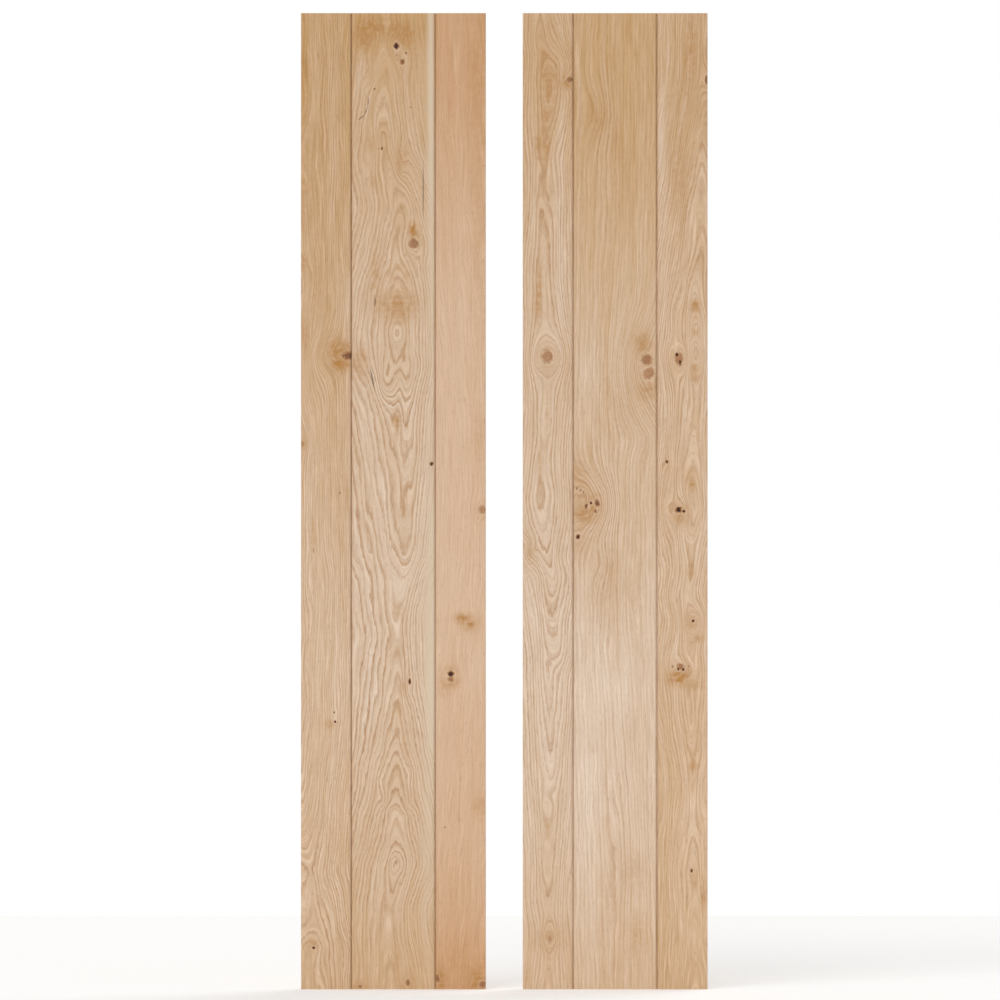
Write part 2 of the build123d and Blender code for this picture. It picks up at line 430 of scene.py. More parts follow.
# %% Centre board of the left leaf
LEFT_LEAF_CENTRE = Board(
    finish="pale_oak_board", seed=23, spacing=7.2, depth=15, waver=0.2,
    heart=(
        (0, 184), (60, 180), (110, 172), (170, 173), (220, 186), (262, 194), (520, 192), (610, 194),
        (720, 196), (760, 194), (880, 212), (1030, 216), (1180, 214), (1250, 210), (1330, 197), (1400, 199),
        (1480, 200), (1590, 205), (1640, 190), (1700, 168), (1800, 167), (1981, 170),
    ),
    skew=((0, 0.05), (500, 0.1), (620, 0.3), (760, 0.42), (1200, 0.42), (1350, 0.2), (1981, 0.1)),
    rings=(
        (0, 2), (60, 2.5), (100, 3), (160, 3.5), (200, 3), (250, 2.2), (276, 3), (301, 4), (348, 5), (374, 6),
        (404, 7), (457, 8), (480, 9), (527, 10), (570, 11), (612, 12), (688, 13), (725, 13.4), (767, 13),
        (831, 12), (859, 11), (880, 10), (957, 9), (1034, 8), (1129, 7), (1187, 6), (1214, 5), (1236, 4),
        (1256, 3), (1275, 2.4), (1300, 2.2), (1350, 2.2), (1385, 2.6), (1415, 3), (1437, 3.6), (1454, 4.3),
        (1472, 5), (1510, 5.6), (1545, 6.2), (1582, 7), (1622, 7.6), (1673, 8.4), (1742, 10), (1801, 11),
        (1886, 12), (1981, 13),
    ),
    contrast=(
        (0, 0.36), (120, 0.5), (280, 0.8), (640, 0.92), (760, 0.78), (1050, 0.8), (1200, 0.88),
        (1290, 0.75), (1480, 0.7), (1600, 0.65), (1780, 0.65), (1850, 0.5), (1981, 0.4),
    ),
    tone=((0, 0.3), (250, 0.65), (800, 1.0), (1200, 0.84), (1560, 0.54), (1850, 0.34), (1981, 0.06)),
    swellings=(
        Spot(202, 1240, 9, 45, 1.0), Spot(172, 1232, 15, 42, -2.6), Spot(198, 1160, 8, 38, 1.4),
        Spot(196, 1331, 15, 20, -1.5), Spot(197, 1306, 5, 9, 0.6), Spot(230, 1292, 16, 16, 0.8),
        Spot(142, 1700, 12, 34, 1.8), Spot(203, 1680, 12, 40, 2.0), Spot(166, 1730, 9, 26, -1.2),
        Spot(229, 1513, 14, 22, 2.5), Spot(194, 1914, 18, 26, 2.4), Spot(150, 1930, 20, 30, 1.2),
        Spot(190, 253, 10, 22, -1.6), Spot(220, 604, 9, 22, 1.2), Spot(140, 1860, 16, 40, 1.5),
        Spot(166, 384, 9, 14, 1.1), Spot(177, 364, 8, 12, -0.8), Spot(226, 378, 8, 16, 0.9),
        Spot(160, 424, 10, 18, -0.9), Spot(213, 352, 8, 12, -0.7), Spot(222, 440, 9, 18, -0.8),
    ),
    marks=(
        Mark(193.8, 1914, 6.4, 7.4, 1.25), Mark(213, 1900, 2.6, 3.6, 0.8), Mark(206, 1882, 5.4, 6.8, 0.8),
        Mark(149.4, 1827, 3.0, 2.6, 0.7), Mark(164, 1706, 2.4, 4.2, 0.9), Mark(157, 1706, 1.8, 3.0, 0.4),
        Mark(229, 1513, 10.5, 11.5, 0.7), Mark(264.7, 1066.5, 4.4, 4.8, 1.2), Mark(193, 258, 3.4, 6, 0.3),
        Mark(220.6, 624.5, 3.4, 7.5, 0.95), Mark(119.8, 6, 5, 4, 0.68), Mark(217, 14, 4.5, 7.5, 0.74),
        Mark(222, 1790, 2, 3, 0.5), Mark(136.2, 1798, 1.5, 14, CRACK, 4),
        Mark(132.5, 1783, 1.5, 12, CRACK, 22), Mark(122.5, 1769.5, 1.4, 11, CRACK, 51),
        Mark(194, 1895, 2.6, 3.4, 0.45), Mark(150.5, 1394, 1.5, 11, CRACK, 4),
        Mark(144.8, 1239, 1.9, 25, CRACK, -12), Mark(248, 1620, 1.2, 70, CRACK),
    ),
    brown=(
        Spot(212, 1938, 28, 30, 0.65), Spot(128, 1932, 24, 32, 0.56), Spot(152, 1955, 40, 24, 0.45),
        Spot(229, 1534, 9, 16, 0.75), Spot(224, 1545, 8, 12, 0.5), Spot(188, 1390, 44, 30, 0.55),
        Spot(220, 1400, 18, 16, 0.2), Spot(214, 1374, 24, 14, 0.12), Spot(204, 1356, 12, 10, 0.2),
        Spot(199, 1466, 9, 9, 0.4), Spot(184, 1450, 8, 12, 0.3), Spot(214, 1450, 8, 12, 0.3),
        Spot(152, 1460, 8, 24, 0.45), Spot(146, 1425, 9, 16, 0.3), Spot(199, 1680, 7, 30, 0.45),
        Spot(212, 1690, 6, 26, 0.3), Spot(147, 1636, 7, 14, 0.4), Spot(143, 1716, 9, 16, 0.3),
        Spot(206, 612, 10, 18, 0.4), Spot(194, 1150, 9, 26, 0.6), Spot(208, 893, 8, 14, 0.35),
        Spot(208, 972, 8, 18, 0.3), Spot(198, 770, 12, 18, 0.3), Spot(198, 690, 9, 10, 0.4),
        Spot(198, 570, 10, 12, 0.35), Spot(119, 4, 14, 12, 0.5), Spot(217, 12, 14, 20, 0.5),
        Spot(116, 1270, 20, 34, 0.45), Spot(196, 60, 10, 40, 0.25),
    ),
    lively=(Spot(196, 1390, 42, 28, -0.5),),
    pale=(Spot(150, 560, 26, 130, 0.16), Spot(115, 1500, 16, 200, 0.1), Spot(125, 1840, 14, 50, 0.25)),
    sap=(
        Spot(263, 1850, 7.5, 400, 1.0), Spot(266, 1400, 5, 300, 0.35), Spot(264, 950, 8, 170, 0.6),
        Spot(252, 880, 12, 150, 0.2), Spot(264, 620, 13, 190, 1.1), Spot(256, 280, 14, 150, 0.45),
    ),
)
print("ring turns up the second board:", len(LEFT_LEAF_CENTRE.rings))

# %% Right board of the left leaf
LEFT_LEAF_RIGHT = Board(
    finish="pink_oak_board", seed=37, spacing=3.6, depth=90, waver=0.5,
    heart=((0, 440), (1000, 470), (1981, 430)),
    skew=((0, 0),),
    rings=((0, 0), (1981, 5)),
    contrast=((0, 0.24), (1981, 0.22)),
    tone=((0, 0.1), (300, 0.72), (800, 0.9), (1400, 0.8), (1850, 0.25), (1981, 0.2)),
    swellings=(Spot(370, 972, 16, 26, 2.0), Spot(304, 635, 14, 26, 1.2)),
    marks=(
        Mark(368, 974, 8, 9, 0.4), Mark(368.5, 974, 3.2, 4.2, 0.7), Mark(304, 640, 7.4, 6.6, 1.25),
        Mark(304, 629, 6.0, 6.0, 0.7), Mark(292, 329, 4.5, 1.6, 0.5), Mark(277, 22, 4.5, 9, 0.75),
        Mark(369, 10, 8, 7.5, 0.72),
    ),
    brown=(
        Spot(369, 972, 12, 16, 0.5), Spot(324, 755, 14, 10, 0.4), Spot(335, 748, 15, 11, 0.45),
        Spot(346, 738, 12, 13, 0.45), Spot(338, 742, 26, 22, 0.2), Spot(306, 647, 15, 15, 0.35),
        Spot(300, 626, 18, 16, 0.35), Spot(316, 622, 12, 14, 0.25), Spot(288, 606, 14, 16, 0.2),
        Spot(360, 16, 24, 30, 0.7), Spot(282, 18, 14, 24, 0.75), Spot(360, 1850, 24, 160, 0.25),
        Spot(362, 1500, 14, 200, 0.18), Spot(362, 370, 16, 30, 0.35), Spot(322, 60, 60, 50, 0.15),
        Spot(364, 1120, 12, 60, 0.2),
    ),
    lively=(Spot(369, 972, 20, 26, 0.3),),
    pale=(Spot(330, 1500, 8, 300, 0.15), Spot(300, 1000, 20, 400, 0.1), Spot(350, 650, 20, 50, 0.15)),
)
print("knots in the third board:", len(LEFT_LEAF_RIGHT.marks))

# %% [markdown]
# ## The right leaf's boards
# The fourth board is another one through the heart, with a round eye at two thirds of its height and long
# points below. The fifth is the widest and calmest: its rings swirl round a burr at half height and round
# two brown knots. The last is tan and knotty, each knot with its own loops.

# %% Left board of the right leaf
RIGHT_LEAF_LEFT = Board(
    finish="pale_oak_board", seed=41, spacing=5.6, depth=13, waver=0.24,
    heart=(
        (0, 503), (110, 505), (180, 499), (280, 502), (640, 505), (680, 512), (840, 511), (880, 494),
        (990, 486), (1050, 488), (1160, 496), (1290, 500), (1440, 490), (1610, 495), (1700, 494),
        (1830, 505), (1880, 503), (1930, 487), (1981, 484),
    ),
    skew=((0, 0),),
    rings=(
        (0, 13.2), (70, 14.2), (130, 14.6), (180, 14), (280, 13), (372, 12), (465, 11), (546, 10), (644, 9),
        (681, 8), (753, 7), (792, 6), (839, 5), (867, 4), (890, 3), (922, 2), (944, 1), (997, 0), (1051, 1),
        (1105, 1.5), (1157, 1.2), (1283, 1), (1380, 1.2), (1441, 1.6), (1500, 2), (1610, 3), (1672, 3.4),
        (1703, 3), (1756, 2), (1836, 1), (1878, 1.8), (1889, 2.4), (1930, 3.4), (1981, 4.4),
    ),
    contrast=((0, 0.45), (200, 0.6), (700, 0.8), (930, 0.8), (1100, 0.75), (1981, 0.7)),
    tone=((0, 0.55), (330, 0.98), (700, 1.1), (1245, 0.78), (1550, 0.66), (1850, 0.32), (1981, 0.38)),
    swellings=(
        Spot(547, 1845, 14, 22, 2.5), Spot(505, 110, 14, 26, -2.4), Spot(500, 1283, 24, 34, -3.6),
        Spot(504, 1826, 18, 44, -0.4), Spot(500, 1240, 20, 20, 0.5), Spot(458, 905, 10, 16, 1.6),
        Spot(474, 896, 9, 14, -1.3), Spot(507, 395, 10, 18, 0.7), Spot(496, 374, 8, 12, -0.3),
    ),
    marks=(
        Mark(499.8, 1284, 12.5, 15, 0.45), Mark(500, 1282, 5.5, 6, 0.7), Mark(545, 1846, 6.5, 6.5, 0.72),
        Mark(549, 1845, 2.6, 3.4, 1.0), Mark(538, 1843, 2, 2, 0.7), Mark(505, 101, 4, 9, 0.25),
    ),
    brown=(
        Spot(500, 1284, 17, 24, 0.5), Spot(541, 1842, 14, 14, 0.65), Spot(505, 1846, 16, 34, 0.55),
        Spot(503, 1800, 12, 30, 0.4), Spot(491, 1890, 10, 60, 0.3), Spot(480, 1704, 7, 26, 0.45),
        Spot(498, 1700, 8, 28, 0.45), Spot(488, 1722, 14, 8, 0.4), Spot(494, 1760, 10, 30, 0.35),
        Spot(484, 1420, 5, 60, 0.55), Spot(479, 1385, 5, 24, 0.35), Spot(500, 1175, 5, 60, 0.35),
        Spot(485, 1050, 5, 40, 0.4), Spot(500, 330, 6, 40, 0.3), Spot(505, 105, 26, 32, 0.35),
        Spot(535, 1250, 18, 60, 0.15), Spot(466, 890, 14, 26, 0.3),
    ),
    pale=(Spot(528, 1600, 6, 240, 0.45), Spot(500, 520, 14, 90, 0.15), Spot(520, 1380, 10, 80, 0.15)),
)
print("ring turns up the fourth board:", len(RIGHT_LEAF_LEFT.rings))

# %% Centre board of the right leaf
RIGHT_LEAF_CENTRE = Board(
    finish="pale_oak_board", seed=53, spacing=8, depth=60, waver=0.12,
    heart=((0, 455), (1000, 440), (1981, 470)),
    skew=((0, 0),),
    rings=((0, 0), (1981, 3)),
    contrast=((0, 0.32), (700, 0.32), (1000, 0.38), (1981, 0.36)),
    tone=(
        (0, 0.58), (200, 0.84), (450, 1.0), (750, 0.95), (940, 0.68), (1300, 0.6), (1700, 0.24), (1981, 0.14),
    ),
    swellings=(
        Spot(588, 985, 46, 58, -6.5), Spot(716, 1260, 60, 100, 7.0), Spot(690, 1120, 50, 40, -2.2),
        Spot(612, 866, 24, 44, -1.9), Spot(668, 770, 22, 90, 1.5), Spot(618, 690, 16, 60, 0.9),
        Spot(603, 1780, 30, 60, -2.2), Spot(655, 250, 26, 230, -2.0), Spot(640, 1560, 26, 160, -1.0),
    ),
    marks=(
        Mark(588.6, 987, 3.2, 3.4, 1.15), Mark(601, 987, 5.4, 8.6, 0.84, -12),
        Mark(578.5, 980, 3.4, 6, 0.84, 14), Mark(597.5, 970, 2.6, 4.6, 0.84),
        Mark(562.2, 918.5, 5.2, 6.2, 1.25), Mark(702, 1278, 12.5, 11.5, 0.72, -20),
        Mark(706, 1250.5, 11, 14, 0.6, 25), Mark(560, 1017, 1.9, 4.2, 0.8, 12),
        Mark(567.5, 1013, 1.9, 3.6, 0.8, 16), Mark(573.5, 1009, 1.9, 3.4, 0.75, 20),
    ),
    brown=(
        Spot(590, 984, 30, 26, 0.5), Spot(576, 958, 24, 14, 0.5), Spot(704, 1265, 18, 32, 0.4),
        Spot(706, 1215, 22, 18, 0.45), Spot(694, 1312, 20, 24, 0.6), Spot(606, 1766, 18, 30, 0.4),
        Spot(566, 1045, 18, 34, 0.35), Spot(680, 110, 26, 40, 0.3), Spot(676, 240, 26, 40, 0.25),
        Spot(570, 900, 16, 40, 0.25), Spot(650, 1640, 40, 60, 0.15), Spot(625, 860, 20, 26, 0.15),
        Spot(640, 1180, 60, 70, 0.14), Spot(640, 800, 60, 70, 0.16), Spot(600, 800, 20, 30, 0.12),
        Spot(630, 180, 18, 60, 0.14), Spot(668, 520, 14, 50, 0.12), Spot(590, 490, 14, 12, 0.14),
    ),
    lively=(
        Spot(610, 980, 70, 100, 0.5), Spot(680, 1230, 56, 100, 0.42), Spot(610, 1770, 60, 90, 0.35),
        Spot(655, 330, 50, 220, 0.25), Spot(622, 810, 50, 110, 0.2),
    ),
    pale=(
        Spot(576, 420, 26, 320, 0.36), Spot(650, 600, 16, 90, 0.25), Spot(615, 640, 12, 80, 0.25),
        Spot(585, 1230, 20, 90, 0.25), Spot(628, 985, 16, 50, 0.25),
    ),
)
print("knots in the fifth board:", len(RIGHT_LEAF_CENTRE.marks))

# %% Right board of the right leaf
RIGHT_LEAF_RIGHT = Board(
    finish="tan_oak_board", seed=67, spacing=5.4, depth=12, waver=0.32,
    heart=(
        (0, 800), (150, 798), (240, 795), (360, 797), (470, 797), (560, 791), (680, 788), (750, 797),
        (800, 784), (850, 793), (940, 793), (1050, 791), (1200, 801), (1400, 800), (1600, 812), (1850, 830),
        (1981, 828),
    ),
    skew=((0, 0),),
    rings=(
        (0, 0), (150, 1), (240, 1.6), (356, 3), (400, 3.4), (442, 3), (470, 2.4), (556, 1.2), (640, 0.6),
        (748, 0.8), (820, 1.3), (853, 1), (909, 0), (933, -1), (985, -2), (1047, -1), (1130, 0), (1210, 0),
        (1288, -0.4), (1372, 0), (1400, 1), (1500, 2.5), (1700, 6), (1850, 8), (1981, 9),
    ),
    contrast=((0, 0.45), (600, 0.6), (900, 0.7), (1300, 0.7), (1700, 0.65), (1981, 0.6)),
    tone=(
        (0, 0.42), (330, 0.66), (600, 0.72), (900, 0.92), (1245, 0.76), (1550, 0.68), (1850, 0.4),
        (1981, 0.42),
    ),
    swellings=(
        Spot(766, 1280, 14, 24, 2.2), Spot(769, 972, 18, 26, 2.5), Spot(742, 1070, 8, 14, 1.0),
        Spot(769, 650, 20, 24, 2.6), Spot(822, 1845, 10, 30, 2.0), Spot(800, 1288, 16, 34, -3.0),
        Spot(796, 748, 20, 28, -2.4), Spot(803, 1345, 9, 12, -1.2),
    ),
    marks=(
        Mark(763.5, 1287, 5.4, 5.6, 1.2), Mark(769.5, 1273, 5.0, 8.5, 1.15), Mark(767, 1280, 9, 14, 0.66),
        Mark(742.5, 1070, 3.6, 4.0, 1.05), Mark(766.5, 973, 8.2, 7.0, 1.1), Mark(777, 970, 4.0, 3.2, 1.0),
        Mark(796, 748, 3.6, 3.6, 1.1), Mark(770, 655, 8, 7.0, 0.72), Mark(754, 655, 2, 3.6, 0.7),
        Mark(776, 649, 3.2, 3.6, 1.05), Mark(766, 650, 3.2, 3.6, 1.05), Mark(787, 656, 1.8, 3.2, 0.6),
        Mark(792.8, 241, 2.8, 4.6, 0.95), Mark(822.5, 1845, 3.5, 10, 0.8),
    ),
    brown=(
        Spot(766, 1281, 14, 18, 0.35), Spot(770, 962, 22, 24, 0.45), Spot(769, 972, 13, 12, 0.4),
        Spot(770, 640, 26, 18, 0.6), Spot(762, 628, 20, 12, 0.5), Spot(795, 618, 18, 10, 0.45),
        Spot(790, 745, 16, 18, 0.35),
        Spot(800, 1386, 8, 14, 0.8), Spot(799, 1262, 7, 12, 0.6), Spot(799, 1240, 9, 8, 0.4),
        Spot(799, 1335, 9, 9, 0.45), Spot(793, 1032, 8, 24, 0.6), Spot(795, 452, 9, 12, 0.5),
        Spot(817, 190, 7, 26, 0.5), Spot(805, 712, 14, 7, 0.5), Spot(797, 225, 10, 18, 0.3),
        Spot(793, 1930, 12, 60, 0.45), Spot(787, 1850, 12, 60, 0.35), Spot(768, 1650, 20, 120, 0.3),
        Spot(742, 1060, 8, 14, 0.25), Spot(770, 1050, 14, 24, 0.2), Spot(790, 850, 12, 14, 0.35),
    ),
    pale=(Spot(730, 1700, 12, 280, 0.35), Spot(795, 330, 8, 60, 0.3), Spot(800, 1420, 16, 30, 0.15)),
)
print("knots in the sixth board:", len(RIGHT_LEAF_RIGHT.marks))

# %% [markdown]
# ## Boards carried up from their section
# A board's front is flat but for its dark knots, which have dried and shrunk, so the face sinks a little
# there. An extruded solid would have a few long faces and nowhere to keep the figure. So the section is
# carried up the leaf in many short steps, finer ones at the dark knots. The board is also unrolled onto a
# flat square map, which a finish needs when it is painted to an image.

# %% Knots and steps
STATION_PITCH = 4.5
FINE_STATIONS = np.linspace(-1.6, 1.6, 9)
HOLLOW_DARKNESS = 0.85
HOLLOW_DEPTH = 1.5
HOLLOW_RIM = 1.15
HOLLOW_POWER = 0.7


def mark_offset(mark, x, z):
    """Offset of a point from a mark's centre, turned by the mark's tilt, in units of its half sizes."""
    turn = np.radians(mark.tilt)
    across = (x - mark.x) * np.cos(turn) - (z - mark.z) * np.sin(turn)
    along = (x - mark.x) * np.sin(turn) + (z - mark.z) * np.cos(turn)
    return across / mark.wide, along / mark.tall


def station_heights(board):
    """Heights of the section's copies: even steps from the foot to the head, and finer ones at dark knots."""
    even = np.linspace(0, LEAF_HEIGHT, int(LEAF_HEIGHT / STATION_PITCH) + 1)
    fine = [m.z + m.tall * FINE_STATIONS for m in board.marks if m.dark >= HOLLOW_DARKNESS]
    heights = np.concatenate([even, *fine])
    return np.unique(np.round(heights[(heights >= 0) & (heights <= LEAF_HEIGHT)], 2))


def hollows(board, x, z):
    """How far the face sinks at the dark knots: a power of the way in from the rim, nothing outside it."""
    sunk = np.zeros_like(x)
    for mark in board.marks:
        if mark.dark >= HOLLOW_DARKNESS:
            way_in = np.clip(HOLLOW_RIM - np.hypot(*mark_offset(mark, x, z)), 0, 1)
            sunk = np.maximum(sunk, HOLLOW_DEPTH * way_in**HOLLOW_POWER)
    return sunk


print("steps up the first board:", len(station_heights(LEFT_LEAF_LEFT)) - 1)

# %% Section carried up
SHARP_ANGLE = np.radians(30)


def carried_up(section, heights):
    """Points and quads of a section carried up to each height: outline pairs give the faces all round, and
    the cells close the foot (turned over) and the head."""
    rim, pairs = np.unique(section.outline, return_inverse=True)
    pairs = pairs.reshape(-1, 2)
    inner = np.setdiff1d(section.cells, rim)
    stations = len(heights)
    shell = np.empty((stations, len(rim), 3))
    shell[:, :, :2] = section.points[rim]
    shell[:, :, 2] = heights[:, None]
    caps = np.empty((2, len(inner), 3))
    caps[:, :, :2] = section.points[inner]
    caps[:, :, 2] = heights[[0, -1], None]
    step = np.arange(stations - 1)[:, None] * len(rim)
    start, end = pairs[:, 0] + step, pairs[:, 1] + step
    walls = np.stack([start, end, end + len(rim), start + len(rim)], axis=2).reshape(-1, 4)
    places = np.zeros((2, len(section.points)), int)
    places[:, rim] = np.arange(len(rim)) + np.array([[0], [(stations - 1) * len(rim)]])
    places[:, inner] = shell.size // 3 + np.arange(2 * len(inner)).reshape(2, -1)
    foot, head = places[0][section.cells][:, ::-1], places[1][section.cells]
    points = np.concatenate([shell.reshape(-1, 3), caps.reshape(-1, 3)])
    return points, np.concatenate([walls, foot, head])


def quad_mesh(name, points, quads):
    """A mesh from points in millimetres and four corners a face, smooth apart from its sharp edges."""
    mesh = bpy.data.meshes.new(name)
    mesh.vertices.add(len(points))
    mesh.vertices.foreach_set("co", (points * MM).ravel())
    mesh.loops.add(quads.size)
    mesh.loops.foreach_set("vertex_index", quads.ravel())
    mesh.polygons.add(len(quads))
    mesh.polygons.foreach_set("loop_start", np.arange(0, quads.size, 4))
    mesh.polygons.foreach_set("use_smooth", np.ones(len(quads), bool))
    mesh.update(calc_edges=True)
    mesh.validate()
    mesh.set_sharp_from_angle(angle=SHARP_ANGLE)
    return mesh


plain_heights = np.array([0, LEAF_HEIGHT])
print("faces of a board in one step:", len(carried_up(sample, plain_heights)[1]))

# %% Flat map of a board
MAP_MARGIN = 6.0


def bake_map(section, heights):
    """A corner's place on a square map: the outline unrolled, cut into as many strips of equal height as
    make a square side by side, and the foot and the head laid above them."""
    start, end = section.points[section.outline].transpose(1, 0, 2)
    unrolled = np.append(0, np.cumsum(np.linalg.norm(end - start, axis=1)))
    pitch = unrolled[-1] + MAP_MARGIN
    strip_height = LEAF_HEIGHT / round(np.sqrt(LEAF_HEIGHT / pitch))
    strip = (heights[:-1] // (strip_height + SAME_PLACE)).astype(int)[:, None]
    left, right = unrolled[:-1] + strip * pitch, unrolled[1:] + strip * pitch
    drop = strip * strip_height
    low, high = (np.broadcast_to(ends[:, None] - drop, left.shape) for ends in (heights[:-1], heights[1:]))
    walls = np.stack([left, low, right, low, right, high, left, high], axis=2).reshape(-1, 4, 2)
    cells = section.points[section.cells] - section.points.min(axis=0) + (0, strip_height + 2 * MAP_MARGIN)
    places = np.concatenate([walls, cells[:, ::-1], cells + (pitch, 0)])
    return places / places.max()


print("faces on its map:", len(bake_map(sample, plain_heights)))

# %% [markdown]
# ## What each point of a board knows
# The figure could be painted to an image, but an image fine enough for a door two metres tall is heavy and
# shows its dots close up. So every point of a board stores facts about its wood, and the finish draws the
# lines from them: the ring count, how strongly rings show, the tone, stains and sapwood. It also stores
# its place in the grain, counted across in rings, so that fibres and pores run with the rings. The
# nearest knot is stored for each corner of a face instead, because a face between two knots must not
# blend them into a false one.

# %% Facts stored with a board
BOARDS = {
    "left_leaf_left_board": LEFT_LEAF_LEFT,
    "left_leaf_centre_board": LEFT_LEAF_CENTRE,
    "left_leaf_right_board": LEFT_LEAF_RIGHT,
    "right_leaf_left_board": RIGHT_LEAF_LEFT,
    "right_leaf_centre_board": RIGHT_LEAF_CENTRE,
    "right_leaf_right_board": RIGHT_LEAF_RIGHT,
}


def nearest_mark(board, points, quads):
    """For each face corner, its offset from the mark nearest to the face, and that mark's darkness."""
    centre = points[quads].mean(axis=1)
    reach = [np.hypot(*mark_offset(mark, centre[:, 0], centre[:, 2])) for mark in board.marks]
    nearest = np.argmin(reach, axis=0)
    corner_x, corner_z = points[quads][:, :, 0], points[quads][:, :, 2]
    stored = np.zeros((*quads.shape, 3))
    for number, mark in enumerate(board.marks):
        mine = nearest == number
        across, along = mark_offset(mark, corner_x[mine], corner_z[mine])
        stored[mine] = np.stack([across, along, np.full_like(across, mark.dark)], axis=2)
    return stored.reshape(-1, 3)


def store(mesh, name, kind, domain, values):
    """Keeps values with the mesh under a name that the finish reads."""
    field = "vector" if kind == "FLOAT_VECTOR" else "value"
    attribute = mesh.attributes.new(name, kind, domain)
    attribute.data.foreach_set(field, np.ascontiguousarray(values, float).ravel())


print("knots and cracks in all:", sum(len(board.marks) for board in BOARDS.values()))

# %% Figured boards
TONE_ROUNDING = 120.0


def figured_board(node, board):
    """A board in place of its node: section from the node's box, carried up, with its wood stored on it."""
    low, high = (np.array(corner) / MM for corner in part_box(node))
    groove = not node.endswith("left_board")
    tongue = not node.endswith("right_board")
    section = board_section(low[0], high[0], groove, tongue)
    heights = station_heights(board)
    points, quads = carried_up(section, heights)
    x, y, z = points.T
    wood = {
        "rings": ring_count(board, x, y, z),
        "contrast": curve(z, board.contrast) + clouds(board.lively, x, z),
        "tone": curve(z, board.tone, TONE_ROUNDING) + clouds(board.pale, x, z),
        "brown": clouds(board.brown, x, z),
        "sap": clouds(board.sap, x, z),
    }
    on_front = y < FRONT + SAME_PLACE
    points[:, 1] += hollows(board, x, z) * on_front
    mesh = quad_mesh(f"{node}_figured", points, quads)
    for name, values in wood.items():
        store(mesh, name, "FLOAT", "POINT", values)
    grain = np.stack([wood["rings"] * board.spacing, points[:, 1], z], axis=1)
    store(mesh, "grain", "FLOAT_VECTOR", "POINT", grain * MM)
    store(mesh, "mark", "FLOAT_VECTOR", "CORNER", nearest_mark(board, points, quads))
    mesh.uv_layers.new(name="OFBake").uv.foreach_set("vector", bake_map(section, heights).ravel())
    piece = bpy.data.objects.new(mesh.name, mesh)
    bpy.context.collection.objects.link(piece)
    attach(piece, "root")
    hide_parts(node)
    print(node, "triangles:", 2 * len(quads))
    return piece


boards = {node: figured_board(node, board) for node, board in BOARDS.items()}

# %% [markdown]
# ## Planed oak
# Oak grows a pale, open band in spring and a dark, dense one by autumn, so each ring darkens slowly and
# ends sharply. Long fibres streak it lighter and darker and fray the edge of the ring lines, and open
# pores scratch it along the grain. The surface is planed and lightly sealed: a soft sheen that follows
# the grain, no gloss. The pores of real oak are about 0.3 mm wide, too fine for this picture, so they are
# drawn 0.9 mm wide. Each pattern is noise stretched to a real size, and colours lie over one another as
# coats do.

# %% Patterns and coats
# A colour mix is joined by socket number, because its sockets for other kinds of value have the same names.
MIXED = 2
FACTOR, FIRST, SECOND = 0, 6, 7
NOISE_DETAIL, NOISE_ROUGHNESS = 2.0, 0.6
PORE_SIZE = (0.9, 0.9, 14)


def cells_per_metre(size):
    """Scale of a pattern from its real size in millimetres along each axis."""
    return tuple(1 / (length * MM) for length in size)


def patches(tree, place, size, detail=NOISE_DETAIL, rough=NOISE_ROUGHNESS):
    """Soft random patches of a real size: the place is stretched until a patch is one unit, then noise."""
    stretched = add(tree, "Mapping", {"Vector": place, "Scale": cells_per_metre(size)})
    return add(tree, "TexNoise", {"Vector": stretched, "Scale": 1.0, "Detail": detail, "Roughness": rough})


def either_side(amount, middle=0.0):
    """Range of a value that swings by an amount to either side of a middle."""
    return {"To Min": middle - amount, "To Max": middle + amount}


def coated(tree, colour, coats):
    """A colour with coats laid over it in order, each one a share from 0 to 1 and its own colour."""
    for share, coat in coats:
        colour = add(tree, "Mix", {FACTOR: share, FIRST: colour, SECOND: coat}, MIXED, data_type="RGBA")
    return colour


print("pores side by side in a metre:", round(cells_per_metre(PORE_SIZE)[0]))

# %% Grain of oak
LINE_HEX = "#a97747"
PORE_HEX = "#8f6845"
FINE_FIBRE = (2.5, 2.5, 80)
BROAD_FIBRE = (14, 14, 380)
FEATHER_SIZE = (3.5, 3.5, 28)
BROAD_DETAIL, PORE_DETAIL = 3.0, 1.0
FEATHER = 0.42
FINE_TONE, BROAD_TONE = 0.4, 0.35
FIBRE_LIGHT = 0.15
LINE_POWER = 3.0
LINE_END = {"From Min": 1.0, "From Max": 0.82}
LINE_STRENGTH = 1.4
SEASONS = {"To Min": 0.4, "To Max": 1.15}
PORES = {"From Min": 0.60, "From Max": 0.78, "To Max": 0.35}


